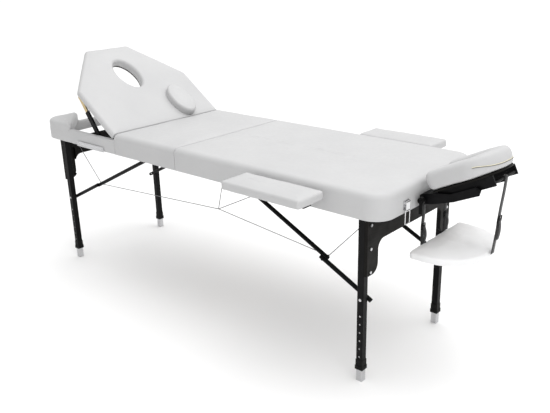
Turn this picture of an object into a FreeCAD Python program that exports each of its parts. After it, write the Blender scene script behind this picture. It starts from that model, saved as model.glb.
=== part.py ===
import FreeCAD, Part
import math
import os
import Sketcher
from types import SimpleNamespace
from FreeCAD import Placement, Rotation, Vector

# A portable three-section treatment table, in millimetres. The frame's +X runs along the table to
# the face cradle, +Y across it and +Z up, with the feet on z = 0. Places along X are given from the
# centre fold, which lies at x = fold_x.

STRUT_FOOT_DROP = 323.0   # leg axis down to the strut bolt on the leg
LEG_X = 844.0             # leg centre, from the fold
STRUT_HEAD_X = 189.0      # strut pivot under the frame, from the fold
PIVOT_X = -402.0          # backrest hinge pin, from the fold
PIVOT_Z = 664.0
TILT = 35.5               # backrest angle at rest, degrees
PROP_FOOT_X = -520.0      # prop pivot on the frame, from the fold
PROP_FOOT_Z = 640.0
PROP_HEAD_U = 292.0       # prop pivot on the backrest, along it and below its hinge line
PROP_HEAD_DROP = 16.0
CRADLE_X = 987.0          # lower front edge of the cradle platform
CRADLE_Z = 672.0
CRADLE_TILT = 25.7
CLAMP_X = 962.0           # pin that the cradle tilts about
CLAMP_Z = 640.0
HANG_ALONG = 200.0        # cross bar that the arm shelf's outer strap hangs from
HANG_DROP = 30.0


def turned(along, out, degrees, sign):
    """A point turned about Y; sign +1 lifts the -X side, -1 lifts the +X side."""
    angle = math.radians(degrees)
    x = along * math.cos(angle) + sign * out * math.sin(angle)
    z = -sign * along * math.sin(angle) + out * math.cos(angle)
    return x, z


# Both struts lie in line when the table stands and fold flat on each other when the leg is folded.
strut_open = math.hypot(LEG_X - STRUT_HEAD_X, STRUT_FOOT_DROP)
strut_flat = LEG_X - STRUT_FOOT_DROP - STRUT_HEAD_X
head_dx, head_dz = turned(-PROP_HEAD_U, -PROP_HEAD_DROP, TILT, 1)
prop_dx = PIVOT_X + head_dx - PROP_FOOT_X
prop_dz = PIVOT_Z + head_dz - PROP_FOOT_Z
clamp_dx, clamp_dz = turned(CLAMP_X - CRADLE_X, CLAMP_Z - CRADLE_Z, CRADLE_TILT, 1)
hang_dx, hang_dz = turned(HANG_ALONG, -HANG_DROP, CRADLE_TILT, -1)

SIZES = {
    "fold_x": -137.737,
    "head_length": 925.0, "foot_length": 942.0, "half_width": 306.0, "wrap": 4.0,
    "rail_low": 612.0, "end_low": 628.0, "rail_tall": 42.0, "rail_wide": 20.0, "board": 6.0, "foam": 40.0,
    "seam_gap": 0.4, "fold_gap": 1.0, "pad_round": 70.0, "cross_half": 270.0,
    "middle_end": 381.0, "strip_wide": 30.0, "strip_tall": 18.0,
    "link_x": 11.0, "link_z": 616.0, "link_pin": 2.0, "link_round": 4.0, "running": 0.05,
    "pin_depth": 11.0, "link_y": 276.0, "link_thick": 6.0,
    "leg_x": LEG_X, "leg_y": 257.0, "leg_wide": 25.0, "leg_wall": 1.5, "leg_axis": 634.0,
    "leg_top": 12.0, "leg_low": 50.0, "leg_pin": 5.0, "leg_edge": 2.0,
    "hole_top": 250.0, "hole_pitch": 31.0, "hole_r": 3.5, "groove_deep": 1.0, "groove_wide": 7.4,
    "slip": 0.2, "inner_wall": 1.6, "inner_top": 300.0, "foot_tall": 44.0, "foot_wide": 24.0,
    "rib_tall": 5.0, "rib_deep": 1.4, "button_r": 3.0, "button_long": 11.0, "button_flange": 5.0,
    "collar_wide": 31.0, "collar_low": 46.0, "collar_top": 83.0, "collar_edge": 3.0,
    "apron_top": 594.0, "apron_thick": 12.0, "apron_low": 401.0, "apron_arch": 512.0, "apron_inner": 207.0,
    "apron_round": 33.0, "bolt_y": 250.0, "bolt_low": 412.0, "bolt_pitch": 82.0, "bolt_r": 2.5,
    "bolt_head": 5.0, "bolt_head_tall": 2.5, "strut_head_tall": 1.2,
    "strut_r": 8.0, "strut_bore": 6.6, "strut_out_y": 234.0, "strut_in_y": 217.0,
    "strut_upper": (strut_open + strut_flat) / 2, "strut_lower": (strut_open - strut_flat) / 2,
    "strut_angle": math.degrees(math.atan2(STRUT_FOOT_DROP, LEG_X - STRUT_HEAD_X)),
    "strut_head_x": STRUT_HEAD_X, "strut_drop": STRUT_FOOT_DROP, "strut_over": 14.0,
    "strut_tip": 8.0, "relief_deep": 9.0, "relief_in": 206.0, "relief_out": 228.0,
    "relief_low": 418.0, "relief_top": 548.0, "strut_tail": 22.0, "strut_pin": 4.0,
    "strut_bolt": 3.0, "block_half": 14.0,
    "block_in": 227.0, "block_out": 241.0,
    "cable_r": 1.5, "cable_y": 205.0, "node_x": 122.0, "node_z": 451.0, "node_r": 4.0,
    "tie_x": 176.0, "cable_clear": 4.4, "cable_leg_x": 855.0, "cable_leg_z": 600.0,
    "pivot_x": PIVOT_X, "pivot_z": PIVOT_Z, "tilt": TILT, "barrel_r": 4.0, "pin_r": 1.5,
    "leaf_thick": 2.0, "leaf_half": 270.0, "knuckle": 90.0, "leaf_wide": 18.0,
    "back_length": 523.0, "back_start": 7.0, "back_straight": 285.0, "back_half": 305.0,
    "back_tip": 115.0, "back_core": 274.0, "back_under": 2.0, "back_ledge": 9.0, "back_top": 36.0,
    "back_round": 26.0, "tip_round": 20.0, "hole_along": 340.0, "hole_long": 92.0,
    "hole_wide": 56.0, "hole_free": 3.0, "ply_top": 4.0, "ply_low": 9.5, "ply_half": 266.0,
    "ply_length": 482.0, "plug_u": 103.0, "plug_y": 135.0, "plug_tall": 36.0,
    "bar_low": 648.0, "bar_x": -424.0, "bar_wide": 42.0,
    "prop_foot_x": PROP_FOOT_X, "prop_foot_z": PROP_FOOT_Z, "prop_head_u": PROP_HEAD_U,
    "prop_drop": PROP_HEAD_DROP, "prop_length": math.hypot(prop_dx, prop_dz),
    "prop_angle": math.degrees(math.atan2(prop_dz, prop_dx)), "sleeve_long": 150.0,
    "sleeve_half": 12.0, "sleeve_y": 271.0, "sleeve_thick": 8.0, "sleeve_wall": 0.9,
    "prop_bar_long": 150.0, "prop_bar_half": 9.0, "prop_pin": 3.0,
    "arm_x": 410.0, "arm_long": 335.0, "arm_in": 334.0, "arm_out": 462.0, "arm_low": 660.0,
    "arm_tall": 30.0, "arm_rod": 6.0, "arm_rod_z": 640.0, "arm_rod_in": 272.0, "arm_rod_a": 470.0,
    "arm_rod_b": 685.0,
    "strap_x": 461.0, "strap_long": 195.0, "strap_low": 609.0, "strap_wide": 24.0,
    "strap_thick": 4.0, "rivet_r": 4.0,
    "latch_y": -187.0, "latch_wide": 30.0, "latch_low": 626.0, "latch_tall": 30.0,
    "latch_pin_x": 948.0, "latch_pin_z": 650.0, "bail_z": 622.0, "bail_low": 578.0,
    "bail_x": 950.0, "wire_r": 1.5,
    "cradle_x": CRADLE_X, "cradle_z": CRADLE_Z, "cradle_tilt": CRADLE_TILT, "clamp_x": CLAMP_X,
    "clamp_z": CLAMP_Z, "clamp_along": clamp_dx, "clamp_out": clamp_dz, "clamp_pin": 5.0,
    "post_r": 8.0, "post_y": 75.0, "post_z": 633.0, "post_x": 885.0, "base_x": 944.0,
    "base_thick": 16.0, "base_half": 88.0, "ear_thick": 8.0,
    "plate_y": 89.0, "plate_thick": 4.0, "channel_y": 74.0, "channel_thick": 6.0,
    "channel_deep": 40.0, "channel_long": 207.0, "hang_along": HANG_ALONG, "hang_drop": HANG_DROP,
    "hang_x": CRADLE_X + hang_dx, "hang_z": CRADLE_Z + hang_dz, "hang_r": 5.0,
    "platform_long": 228.0, "platform_half": 104.0, "platform_thick": 6.0, "face_half": 38.0,
    "face_along": 169.0, "platform_round": 100.0, "cushion_long": 237.0, "cushion_half": 110.0,
    "cushion_tall": 62.0, "cushion_round": 107.0, "face_round": 34.0,
    "lever_hub": 11.0, "lever_y": 102.0, "lever_wide": 14.0, "lever_long": 46.0,
    "shelf_x": 957.5, "shelf_reach": 200.0, "shelf_half": 172.0, "shelf_low": 460.0,
    "shelf_tall": 22.0, "shelf_round": 140.0, "hem_r": 2.5, "hem_half": 58.0, "hem_z": 472.0,
    "web_x": 951.0, "web_thick": 2.0, "web_y": 75.0, "web_wide": 20.0,
    "web_low": 473.0, "web_top": 616.0, "buckle_low": 532.0, "buckle_tall": 16.0,
    "ring_bore": 5.4, "outer_wide": 24.0, "outer_long": 260.0, "outer_lean": 5.0, "outer_buckle": 146.0,
}

doc = FreeCAD.newDocument("treatment_table")
sheet = doc.addObject("Spreadsheet::Sheet", "Sheet")
for line, (alias, number) in enumerate(SIZES.items(), start=1):
    sheet.set(f"A{line}", alias)
    sheet.set(f"B{line}", str(number))
    sheet.setAlias(f"B{line}", alias)
doc.recompute()


class Size:
    """A number together with the spreadsheet expression that gives it."""

    def __init__(self, number, text):
        self.number = number
        self.text = text

    def join(self, other, sign, number):
        return Size(number, f"({self.text} {sign} {other.text})")

    def __add__(self, other):
        other = sized(other)
        return self.join(other, "+", self.number + other.number)

    def __sub__(self, other):
        other = sized(other)
        return self.join(other, "-", self.number - other.number)

    def __mul__(self, other):
        other = sized(other)
        return self.join(other, "*", self.number * other.number)

    def __truediv__(self, other):
        other = sized(other)
        return self.join(other, "/", self.number / other.number)

    def __neg__(self):
        return Size(-self.number, f"(0 - {self.text})")

    def __radd__(self, other):
        return sized(other) + self

    def __rsub__(self, other):
        return sized(other) - self

    def __rmul__(self, other):
        return sized(other) * self


def sized(value):
    return value if isinstance(value, Size) else Size(value, str(value))


s = SimpleNamespace(**{alias: Size(number, f"Sheet.{alias}") for alias, number in SIZES.items()})
NODES = {}
serial = [0]
ALONG = {"X": Rotation(Vector(0, 1, 0), 90), "Y": Rotation(Vector(1, 0, 0), -90), "Z": Rotation()}


def new(kind, word="piece"):
    serial[0] += 1
    return doc.addObject(kind, f"{word}{serial[0]}")


def bind(feature, name, value, unit=""):
    feature.setExpression(name, sized(value).text + unit)


def place(feature, x, y, z):
    for axis, value in zip("xyz", (x, y, z)):
        bind(feature, f"Placement.Base.{axis}", value)
    return feature


def turn(feature, x, z, degrees, lifts):
    """Turn a piece about Y at x, z; lifts is the side of the piece that rises."""
    axis = Vector(0, 1, 0) if lifts == "-X" else Vector(0, -1, 0)
    feature.Placement = Placement(Vector(), Rotation(axis, 10))
    bind(feature, "Placement.Rotation.Angle", degrees, " * 1 deg")
    return place(feature, x, 0, z)


def block(x0, x1, y0, y1, z0, z1):
    box = new("Part::Box")
    bind(box, "Length", sized(x1) - x0)
    bind(box, "Width", sized(y1) - y0)
    bind(box, "Height", sized(z1) - z0)
    return place(box, x0, y0, z0)


def rod(radius, along, start, end, x=0, y=0, z=0):
    """A cylinder along X, Y or Z between two values on that axis."""
    cylinder = new("Part::Cylinder")
    bind(cylinder, "Radius", radius)
    bind(cylinder, "Height", sized(end) - start)
    cylinder.Placement = Placement(Vector(), ALONG[along])
    where = {"X": (start, y, z), "Y": (x, start, z), "Z": (x, y, start)}[along]
    return place(cylinder, *where)


def fuse(*pieces):
    feature = new("Part::MultiFuse")
    feature.Shapes = list(pieces)
    feature.Refine = True
    return feature


def cut(base, *tools):
    feature = new("Part::Cut")
    feature.Base = base
    feature.Tool = tools[0] if len(tools) == 1 else fuse(*tools)
    return feature


def group(*pieces):
    feature = new("Part::Compound")
    feature.Links = list(pieces)
    return feature


def mirror(piece, axis):
    """The piece's mirror image across the table's middle (Y) or across the fold (X)."""
    feature = new("Part::Mirroring")
    feature.Source = piece
    feature.Normal = Vector(1, 0, 0) if axis == "X" else Vector(0, 1, 0)
    return feature


def both(piece):
    return group(piece, mirror(piece, "Y"))


def outline(points, low, high, plane="XY", rounds=None):
    """A closed outline padded from low to high; rounds maps a corner's number to its radius."""
    body = new("PartDesign::Body", "body")
    sketch = body.newObject("Sketcher::SketchObject", f"outline{serial[0]}")
    origin = next(f for f in body.Origin.OriginFeatures if f.Role == f"{plane}_Plane")
    sketch.AttachmentSupport = (origin, [""])
    sketch.MapMode = "FlatFace"
    corners = [(sized(a), sized(b)) for a, b in points]
    count = len(corners)
    for i in range(count):
        ends = [Vector(c[0].number, c[1].number, 0) for c in (corners[i], corners[(i + 1) % count])]
        sketch.addGeometry(Part.LineSegment(*ends), False)
    for i in range(count):
        sketch.addConstraint(Sketcher.Constraint("Coincident", i, 2, (i + 1) % count, 1))
    for i, corner in enumerate(corners):
        for kind, value in zip(("DistanceX", "DistanceY"), corner):
            index = sketch.addConstraint(Sketcher.Constraint(kind, -1, 1, i, 1, value.number))
            sketch.setExpression(f"Constraints[{index}]", value.text)
    pad = body.newObject("PartDesign::Pad", f"pad{serial[0]}")
    pad.Profile = sketch
    bind(pad, "Length", sized(high) - low)
    doc.recompute()
    for radius in sorted({r.number for r in (rounds or {}).values()}):
        chosen = [i for i, r in rounds.items() if r.number == radius]
        sharp = body.Tip
        names = upright_edges(sharp.Shape, [corners[i] for i in chosen], plane)
        fillet = body.newObject("PartDesign::Fillet", f"fillet{serial[0]}_{int(radius)}")
        fillet.Base = (sharp, names)
        bind(fillet, "Radius", rounds[chosen[0]])
        doc.recompute()
    lift = {"XY": (0, 0, low), "YZ": (low, 0, 0), "XZ": (0, high, 0)}[plane]
    return place(body, *lift)


def upright_edges(shape, corners, plane):
    """Names of the edges that stand on the given corners of an outline."""
    pick = {"XY": (0, 1), "YZ": (1, 2), "XZ": (0, 2)}[plane]
    names = []
    for number, edge in enumerate(shape.Edges, start=1):
        ends = [tuple(v.Point) for v in edge.Vertexes]
        for a, b in corners:
            spots = [(e[pick[0]] - a.number, e[pick[1]] - b.number) for e in ends]
            if len(ends) == 2 and all(math.hypot(*spot) < 0.01 for spot in spots):
                names.append(f"Edge{number}")
    return names


def oval(long_half, wide_half, x, y, low, high):
    """An upright oval cylinder with its long axis along X."""
    ellipse = new("Part::Ellipse")
    bind(ellipse, "MajorRadius", long_half)
    bind(ellipse, "MinorRadius", wide_half)
    place(ellipse, x, y, low)
    solid = new("Part::Extrusion")
    solid.Base = ellipse
    solid.DirMode = "Custom"
    solid.Dir = Vector(0, 0, 1)
    bind(solid, "LengthFwd", sized(high) - low)
    solid.Solid = True
    return solid


def node(name, piece, fixed=False):
    """Name a finished piece; unless it is fixed, its places count from the fold."""
    if not fixed:
        moved = group(piece)
        place(moved, s.fold_x, 0, 0)
        piece = moved
    piece.Label = name
    NODES[name] = piece
    return piece


rail_top = s.rail_low + s.rail_tall
board_top = rail_top + s.board
pad_top = board_top + s.foam
skin = s.half_width + s.wrap
rail_in = s.half_width - s.rail_wide


# ---- the two half frames ---------------------------------------------------------------------

def rail_holes(x_sign):
    """Holes in a near side rail for the fold link's pin and the leg's pin."""
    deep = rail_in + s.pin_depth
    link = rod(s.link_pin + s.running, "Y", -deep, -rail_in + 1, x=x_sign * s.link_x, z=s.link_z)
    leg = rod(s.leg_pin + s.running, "Y", -deep, -rail_in + 1, x=x_sign * s.leg_x, z=s.leg_axis)
    return [link, leg]


def strut_block():
    """A near wooden block under the board that the upper strut's pin turns in."""
    block_piece = block(s.strut_head_x - s.block_half, s.strut_head_x + s.block_half,
                        -s.block_out, -s.block_in, s.rail_low + 6, rail_top)
    hole = rod(s.strut_pin + s.running, "Y", -s.block_out - 1, -s.block_in + 1,
               x=s.strut_head_x, z=s.leg_axis)
    return cut(block_piece, hole)


def half_frames():
    head_end = s.head_length - s.wrap
    foot_end = s.foot_length - s.wrap
    head_tip = -(head_end - s.rail_wide)
    head_rail = outline([(-s.fold_gap, -rail_in), (head_tip, -rail_in),
                         (s.pad_round - s.head_length, -s.half_width),
                         (-s.fold_gap, -s.half_width)], s.rail_low, rail_top)
    node("head_side_rails", both(cut(head_rail, *rail_holes(-1))))
    tip = foot_end - s.rail_wide
    foot_rail = outline([(s.fold_gap, -rail_in), (s.fold_gap, -s.half_width),
                         (s.foot_length - s.pad_round, -s.half_width), (tip, -rail_in)],
                        s.rail_low, rail_top)
    rods = [rod(s.arm_rod + s.running, "Y", -s.half_width - 1, -rail_in + 1, x=x, z=s.arm_rod_z)
            for x in (s.arm_rod_a, s.arm_rod_b)]
    node("foot_side_rails", both(cut(foot_rail, *rail_holes(1), *rods)))
    fold_rail = block(s.fold_gap, s.fold_gap + s.rail_wide, -s.cross_half, s.cross_half,
                      s.rail_low, rail_top)
    blocks = both(strut_block())
    corner = s.half_width + s.wrap - s.pad_round
    head_end_rail = outline([(head_tip, -rail_in), (-head_end, -corner), (-head_end, corner),
                             (head_tip, rail_in)], s.end_low, rail_top)
    node("head_cross_rails", group(head_end_rail, mirror(fold_rail, "X"), mirror(blocks, "X")))
    foot_end_rail = outline([(tip, -rail_in), (foot_end, -corner), (foot_end, corner),
                             (tip, rail_in)], s.rail_low, rail_top)
    posts = [rod(s.post_r + s.running, "X", tip - 1, foot_end + 1, y=side * s.post_y, z=s.post_z)
             for side in (-1, 1)]
    node("foot_cross_rails", group(cut(foot_end_rail, *posts), fold_rail, blocks))
    node("head_panel", block(s.pivot_x + 2, -s.fold_gap, -s.half_width, s.half_width,
                             rail_top, board_top))
    inner_round = s.pad_round - s.wrap
    node("foot_panel", outline([(s.fold_gap, -s.half_width), (foot_end, -s.half_width),
                                (foot_end, s.half_width), (s.fold_gap, s.half_width)],
                               rail_top, board_top, rounds={1: inner_round, 2: inner_round}))
    node("hinge_rail", block(s.bar_x, s.bar_x + s.bar_wide, -rail_in, rail_in,
                             s.bar_low, rail_top))


def table_pads():
    start = -s.middle_end
    slab = block(start, -s.seam_gap, -skin, skin, s.rail_low, pad_top)
    hollow = block(start - 1, -s.seam_gap + 1, -s.half_width, s.half_width,
                   s.rail_low - 1, board_top)
    relief = block(-s.fold_gap, 1, -skin - 1, skin + 1, s.rail_low - 1, board_top)
    node("middle_pad", cut(slab, hollow, relief))
    end = s.foot_length
    slab = outline([(s.seam_gap, -skin), (end, -skin), (end, skin), (s.seam_gap, skin)],
                   s.rail_low, pad_top, rounds={1: s.pad_round, 2: s.pad_round})
    inner_round = s.pad_round - s.wrap
    hollow = outline([(s.seam_gap - 1, -s.half_width), (end - s.wrap, -s.half_width),
                      (end - s.wrap, s.half_width), (s.seam_gap - 1, s.half_width)],
                     s.rail_low - 1, board_top, rounds={1: inner_round, 2: inner_round})
    holes = [rod(s.arm_rod + 1, "Y", side * s.arm_rod_in - 60, side * s.arm_rod_in + 60,
                 x=x, z=s.arm_rod_z) for x in (s.arm_rod_a, s.arm_rod_b) for side in (-1, 1)]
    holes += [rod(s.post_r + 1, "X", end - 8, end + 1, y=side * s.post_y, z=s.post_z)
              for side in (-1, 1)]
    relief = block(-1, s.fold_gap, -skin - 1, skin + 1, s.rail_low - 1, board_top)
    node("foot_pad", cut(slab, hollow, relief, *holes))
    # The head end's padded surround: low strips on the side rails and a full-height pad in each
    # corner, which the backrest's narrow end lies between when it is down.
    end = -s.head_length
    join = start - s.seam_gap
    skirt = outline([(end, -skin), (join, -skin), (join, skin), (end, skin)],
                    s.rail_low, rail_top + s.strip_tall, rounds={0: s.pad_round, 3: s.pad_round})
    inside = outline([(end + s.wrap, -s.half_width), (join + 1, -s.half_width),
                      (join + 1, s.half_width), (end + s.wrap, s.half_width)],
                     s.rail_low - 1, rail_top, rounds={0: inner_round, 3: inner_round})
    panel_room = block(s.pivot_x + 1, join + 1, -s.half_width, s.half_width, rail_top - 1,
                       board_top + 0.2)
    strip_in = skin - s.strip_wide
    between = block(end - 1, join + 1, -strip_in, strip_in, rail_top + 2, pad_top)
    well = block(end + s.rail_wide + 2 * s.wrap, join + 1, -strip_in, strip_in,
                 s.rail_low - 1, pad_top)
    under = block(end + s.wrap, end + s.rail_wide + 3 * s.wrap, -strip_in, strip_in,
                  s.rail_low - 1, s.end_low)
    free = 6.4
    corner_in = s.back_tip + free
    slope = (s.back_half - s.back_tip) / (s.back_length - s.back_straight)
    reach = (skin - corner_in) / slope
    corner = outline([(end, -corner_in), (end, -skin), (end + reach, -skin)],
                     rail_top + 2, pad_top, rounds={1: s.pad_round})
    node("surround_pad", fuse(cut(skirt, inside, panel_room, between, well, under), both(corner)))


def fold_hinge():
    """Two link plates with a pin at each end, so that the halves close flat on each other."""
    low = -s.link_y - s.link_thick
    ends = [rod(s.link_round, "Y", low, -s.link_y, x=side * s.link_x, z=s.link_z)
            for side in (-1, 1)]
    bar = block(-s.link_x, s.link_x, low, -s.link_y, s.link_z - s.link_round,
                s.link_z + s.link_round)
    holes = [rod(s.link_pin, "Y", low - 1, -s.link_y + 1, x=side * s.link_x, z=s.link_z)
             for side in (-1, 1)]
    node("fold_links", both(cut(fuse(bar, *ends), *holes)))
    pins = [rod(s.link_pin, "Y", -rail_in - s.pin_depth + 0.5, -s.link_y + 2,
                x=side * s.link_x, z=s.link_z) for side in (-1, 1)]
    node("fold_pins", both(group(*pins)))


# ---- legs, struts and cables, made for the foot half and mirrored for the head half ------------

def square(wide, low, high, edge=None):
    half = sized(wide) / 2
    box = block(s.leg_x - half, s.leg_x + half, -s.leg_y - half, -s.leg_y + half, low, high)
    if edge is None:
        return box
    doc.recompute()
    rounded = new("Part::Fillet")
    rounded.Base = box
    upright = [i for i, e in enumerate(box.Shape.Edges, start=1)
               if abs(e.tangentAt(e.FirstParameter).z) > 0.99]
    rounded.Edges = [(i, sized(edge).number, sized(edge).number) for i in upright]
    return rounded


def leg_tube():
    top = s.leg_axis + s.leg_top
    face = -s.leg_y - s.leg_wide / 2
    bore = s.leg_wide - 2 * s.leg_wall
    holes = [rod(s.hole_r, "Y", face - 1, face + 2, x=s.leg_x, z=s.hole_top - step * s.hole_pitch)
             for step in range(6)]
    groove = block(s.leg_x - s.groove_wide / 2, s.leg_x + s.groove_wide / 2,
                   face + s.leg_wall - s.groove_deep, face + s.leg_wall + 0.5,
                   s.leg_low - 1, s.hole_top + 8)
    pin = rod(s.leg_pin, "Y", face - 1, face + s.leg_wide + 1, x=s.leg_x, z=s.leg_axis)
    bolt = rod(s.strut_bolt, "Y", face - 1, face + s.leg_wide + 1, x=s.leg_x,
               z=s.leg_axis - s.strut_drop)
    screws = [rod(s.bolt_r, "X", s.leg_x, s.leg_x + s.leg_wide, y=-s.bolt_y,
                  z=s.bolt_low + step * s.bolt_pitch) for step in range(3)]
    return cut(square(s.leg_wide, s.leg_low, top, s.leg_edge),
               square(bore, s.leg_low - 1, top + 1), groove, pin, bolt, *holes, *screws)


def collar():
    low = square(s.collar_wide, s.collar_low, s.collar_low + 14, s.leg_edge)
    high = square(s.collar_wide - s.collar_edge, s.collar_low + 12, s.collar_top, s.leg_edge)
    seat = square(s.leg_wide, s.leg_low, s.collar_top + 1, s.leg_edge)
    mouth = square(s.leg_wide - 2 * s.leg_wall, s.collar_low - 1, s.leg_low + 1)
    return cut(fuse(low, high), seat, mouth)


def apron():
    face = s.leg_x + s.leg_wide / 2
    edge = s.leg_y + s.leg_wide / 2
    points = [(-edge, s.apron_top), (edge, s.apron_top), (edge, s.apron_low), (s.apron_inner, s.apron_low),
              (s.apron_inner, s.apron_arch), (-s.apron_inner, s.apron_arch),
              (-s.apron_inner, s.apron_low), (-edge, s.apron_low)]
    board = outline(points, face, face + s.apron_thick, plane="YZ",
                    rounds={3: s.apron_round, 4: s.apron_round, 5: s.apron_round,
                            6: s.apron_round})
    holes = [rod(s.bolt_r, "X", face - 1, face + s.apron_thick + 1, y=side * s.bolt_y,
                 z=s.bolt_low + step * s.bolt_pitch) for step in range(3) for side in (-1, 1)]
    # Blind grooves in its inner face, which the struts' ends swing through as the leg folds.
    grooves = both(block(face - 1, face + s.relief_deep, -s.relief_out, -s.relief_in,
                         s.relief_low, s.relief_top))
    return cut(board, grooves, *holes)


def leg_hardware():
    face = s.leg_x + s.leg_wide / 2
    outer = face + s.apron_thick
    side_face = -s.leg_y - s.leg_wide / 2
    pieces = []
    for step in range(3):
        height = s.bolt_low + step * s.bolt_pitch
        shank = rod(s.bolt_r, "X", face - 4, outer, y=-s.bolt_y, z=height)
        head = rod(s.bolt_head, "X", outer, outer + s.bolt_head_tall, y=-s.bolt_y, z=height)
        pieces.append(fuse(shank, head))
    bolt_z = s.leg_axis - s.strut_drop
    shank = rod(s.strut_bolt, "Y", side_face, -s.strut_out_y + s.strut_r + 0.4, x=s.leg_x, z=bolt_z)
    head = rod(s.bolt_head, "Y", side_face - s.strut_head_tall, side_face, x=s.leg_x, z=bolt_z)
    pieces.append(fuse(shank, head))
    pieces.append(rod(s.leg_pin, "Y", -rail_in - s.pin_depth + 1, -s.leg_y + s.leg_wide / 2 + 4,
                      x=s.leg_x, z=s.leg_axis))
    return group(*pieces)


def inner_leg():
    wide = s.leg_wide - 2 * s.leg_wall - 2 * s.slip
    hollow = square(wide - 2 * s.inner_wall, s.foot_tall - 1, s.inner_top + 1)
    face = -s.leg_y - wide / 2
    hole = rod(s.button_r + s.running, "Y", face - 1, face + 4, x=s.leg_x, z=s.hole_top)
    tube = cut(square(wide, s.foot_tall, s.inner_top, 1.0), hollow, hole)
    core = square(s.foot_wide - 2 * s.rib_deep, 0, s.foot_tall, s.leg_edge)
    ribs = [square(s.foot_wide, step * 1.6 * s.rib_tall, (step * 1.6 + 1) * s.rib_tall, s.leg_edge)
            for step in range(5)]
    sole = square(s.foot_wide, s.foot_tall - 4, s.foot_tall, s.leg_edge)
    return group(tube, fuse(core, sole, *ribs))


def lock_button():
    wall = -s.leg_y - s.leg_wide / 2 + s.leg_wall
    tip = wall - s.groove_deep + 0.3
    stem = rod(s.button_r, "Y", tip, tip + s.button_long, x=s.leg_x, z=s.hole_top)
    seat = wall + s.slip + s.inner_wall + 0.1
    flange = rod(s.button_flange, "Y", seat, seat + 1.5, x=s.leg_x, z=s.hole_top)
    return fuse(stem, flange)


def slanted(radius, start, end, y):
    """A cylinder along the strut line, from start to end as measured from the upper pivot."""
    angle = math.radians(SIZES["strut_angle"])
    cylinder = new("Part::Cylinder")
    bind(cylinder, "Radius", radius)
    bind(cylinder, "Height", sized(end) - start)
    cylinder.Placement = Placement(Vector(), Rotation(Vector(0, 1, 0), 100))
    bind(cylinder, "Placement.Rotation.Angle", 90 + s.strut_angle, " * 1 deg")
    return place(cylinder, s.strut_head_x + sized(start) * math.cos(angle), y,
                 s.leg_axis - sized(start) * math.sin(angle))


def on_strut(distance):
    """x and z of a point on the strut line."""
    angle = math.radians(SIZES["strut_angle"])
    return (s.strut_head_x + distance * math.cos(angle), s.leg_axis - distance * math.sin(angle))


def upper_strut():
    end = s.strut_upper + s.strut_tip
    knee_x, knee_z = on_strut(s.strut_upper)
    bored = slanted(s.strut_bore, -12, end + 2, -s.strut_in_y)
    pin_hole = rod(s.strut_pin, "Y", -s.strut_in_y - 9, -s.strut_in_y + 9, x=s.strut_head_x,
                   z=s.leg_axis)
    knee_hole = rod(s.strut_bolt, "Y", -s.strut_in_y - 9, -s.strut_in_y + 9, x=knee_x, z=knee_z)
    tube = cut(slanted(s.strut_r, -10, end, -s.strut_in_y), bored, pin_hole, knee_hole)
    pin = rod(s.strut_pin, "Y", -s.block_out, -s.strut_in_y + s.strut_r + 2, x=s.strut_head_x,
              z=s.leg_axis)
    knee = rod(s.strut_bolt, "Y", -s.strut_in_y - s.strut_r, -s.strut_in_y + s.strut_r, x=knee_x,
               z=knee_z)
    head = rod(s.bolt_head, "Y", -s.strut_in_y + s.strut_r, -s.strut_in_y + s.strut_r + 2.5,
               x=knee_x, z=knee_z)
    return group(tube, pin, fuse(knee, head))


def lower_strut():
    start = s.strut_upper - s.strut_over
    end = s.strut_upper + s.strut_lower
    knee_x, knee_z = on_strut(s.strut_upper)
    bored = slanted(s.strut_bore, start - 2, end + s.strut_tail + 2, -s.strut_out_y)
    bolt = rod(s.strut_bolt + s.running, "Y", -s.strut_out_y - 9, -s.strut_out_y + 9, x=s.leg_x,
               z=s.leg_axis - s.strut_drop)
    knee_hole = rod(s.strut_bolt, "Y", -s.strut_out_y - 9, -s.strut_out_y + 9, x=knee_x, z=knee_z)
    tube = cut(slanted(s.strut_r, start, end + s.strut_tail, -s.strut_out_y), bored, bolt,
               knee_hole)
    knee = rod(s.strut_bolt, "Y", -s.strut_out_y - s.strut_r, -s.strut_out_y + s.strut_r,
               x=knee_x, z=knee_z)
    head = rod(s.bolt_head, "Y", -s.strut_out_y - s.strut_r - 2.5, -s.strut_out_y - s.strut_r,
               x=knee_x, z=knee_z)
    return group(tube, fuse(knee, head))


def legs_and_struts():
    makers = {"leg_tubes": leg_tube, "collars": collar, "leg_hardware": leg_hardware,
              "upper_struts": upper_strut, "lower_struts": lower_strut}
    for name, maker in makers.items():
        pair = both(maker())
        node(f"{name}_foot", pair)
        node(f"{name}_head", mirror(pair, "X"))
    board = apron()
    node("apron_foot", board)
    node("apron_head", mirror(board, "X"))
    for name, maker in {"inner_leg": inner_leg, "lock_button": lock_button}.items():
        near = maker()
        far = mirror(near, "Y")
        node(f"{name}_foot_near", near)
        node(f"{name}_foot_far", far)
        node(f"{name}_head_near", mirror(near, "X"))
        node(f"{name}_head_far", mirror(far, "X"))


def wire(start, end, clear_start=0.0, clear_end=0.0):
    """A straight steel wire between two points, stopping short of them by the given clearances."""
    line = end - start
    length = line.Length - clear_start - clear_end
    unit = Vector(line).normalize()
    feature = new("Part::Feature", "wire")
    feature.Shape = Part.makeCylinder(SIZES["cable_r"], length, start + unit * clear_start, unit)
    return feature


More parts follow.
